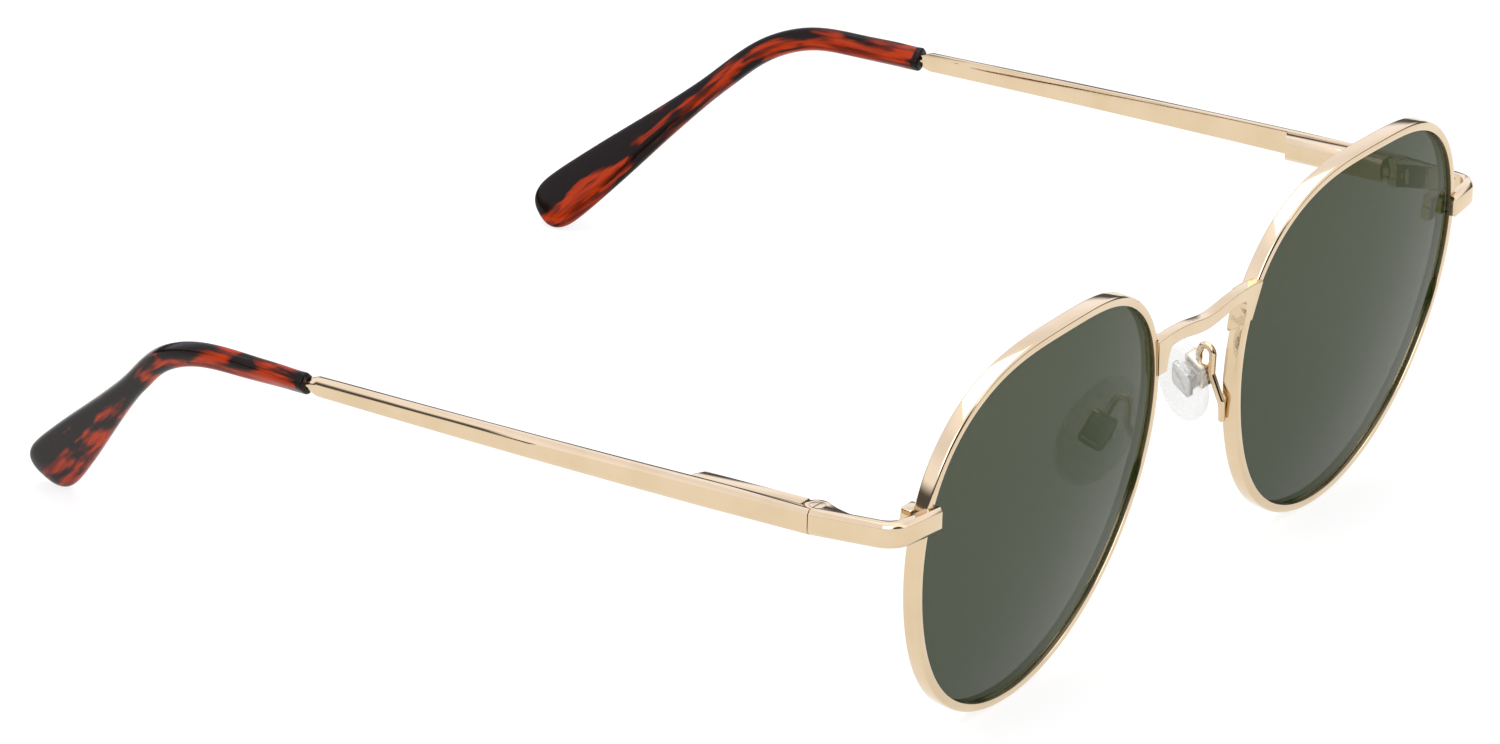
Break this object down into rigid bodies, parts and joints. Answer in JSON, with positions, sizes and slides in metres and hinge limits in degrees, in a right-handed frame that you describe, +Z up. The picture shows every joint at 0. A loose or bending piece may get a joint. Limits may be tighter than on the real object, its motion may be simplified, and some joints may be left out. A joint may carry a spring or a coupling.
{
  "type": "round metal sunglasses",
  "caption": "Metal-rimmed round sunglasses with a waved bar bridge, tinted lenses, adjustable nose pads, sprung folding temples and tortoiseshell tip covers.",
  "frame": {"origin": "middle of the part's footprint, on the surface that it stands on", "axes": "+X towards the wearer's left, +Y from the lenses back to the temple tips, +Z up; the part stands on its rims and temple tips with the temples open"},
  "size_m": [0.14, 0.1304, 0.0484],
  "materials": {
    "frame_metal": "polished pale champagne gold plating",
    "lens": "dark grey-green tint, glossy",
    "tortoiseshell": "glossy orange-red with near-black patches",
    "clear_pad": "clear, colourless and glossy",
    "pad_core": "bright silvery metal",
    "screw_steel": "fine turned steel, plated to match",
    "spring_steel": "drawn spring wire"
  },
  "bodies": {
    "front": {"bridge": "frame_metal", "left_rim": "frame_metal", "left_lens": "lens", "left_closing_block_upper": "frame_metal", "left_closing_block_lower": "frame_metal", "left_closing_screw": "screw_steel", "left_endpiece": "frame_metal", "left_hinge_screw": "screw_steel", "left_pad_arm": "frame_metal", "left_pad_box": "frame_metal", "left_pad_screw": "screw_steel", "right_rim": "frame_metal", "right_lens": "lens", "right_closing_block_upper": "frame_metal", "right_closing_block_lower": "frame_metal", "right_closing_screw": "screw_steel", "right_endpiece": "frame_metal", "right_hinge_screw": "screw_steel", "right_pad_arm": "frame_metal", "right_pad_box": "frame_metal", "right_pad_screw": "screw_steel"},
    "left_pad": {"left_nose_pad": "clear_pad", "left_nose_pad_core": "pad_core"},
    "left_plunger": {"left_hinge_plunger": "frame_metal"},
    "left_temple": {"left_temple_bar": "frame_metal", "left_spring_housing": "frame_metal", "left_hinge_spring": "spring_steel", "left_retaining_pin": "screw_steel", "left_spring_stop": "screw_steel", "left_tip_cover": "tortoiseshell"},
    "right_pad": {"right_nose_pad": "clear_pad", "right_nose_pad_core": "pad_core"},
    "right_plunger": {"right_hinge_plunger": "frame_metal"},
    "right_temple": {"right_temple_bar": "frame_metal", "right_spring_housing": "frame_metal", "right_hinge_spring": "spring_steel", "right_retaining_pin": "screw_steel", "right_spring_stop": "screw_steel", "right_tip_cover": "tortoiseshell"}
  },
  "joints": [
    {"name": "left_temple_fold", "type": "hinge", "parent": "front", "child": "left_plunger", "pos_m": [0.0678, -0.05203, 0.03144], "axis": [0, 0.0264, 0.9997], "range_deg": [0, 84]},
    {"name": "right_temple_fold", "type": "hinge", "parent": "front", "child": "right_plunger", "pos_m": [-0.0678, -0.05203, 0.03144], "axis": [0, -0.0264, -0.9997], "range_deg": [0, 76]},
    {"name": "left_spring_slide", "type": "slide", "parent": "left_plunger", "child": "left_temple", "axis": [0, 0.9997, -0.0264], "range_m": [0, 0.0008], "stiffness_N_per_m": 1500, "springref_m": -0.001, "deforming": ["left_hinge_spring"]},
    {"name": "right_spring_slide", "type": "slide", "parent": "right_plunger", "child": "right_temple", "axis": [0, 0.9997, -0.0264], "range_m": [0, 0.0008], "stiffness_N_per_m": 1500, "springref_m": -0.001, "deforming": ["right_hinge_spring"]},
    {"name": "left_pad_rock", "type": "hinge", "parent": "front", "child": "left_pad", "pos_m": [0.01193, -0.05605, 0.02449], "axis": [-0.2502, -0.8813, -0.4009], "range_deg": [-6, 8]},
    {"name": "right_pad_rock", "type": "hinge", "parent": "front", "child": "right_pad", "pos_m": [-0.01193, -0.05605, 0.02449], "axis": [-0.2502, 0.8813, 0.4009], "range_deg": [-6, 8]}
  ]
}
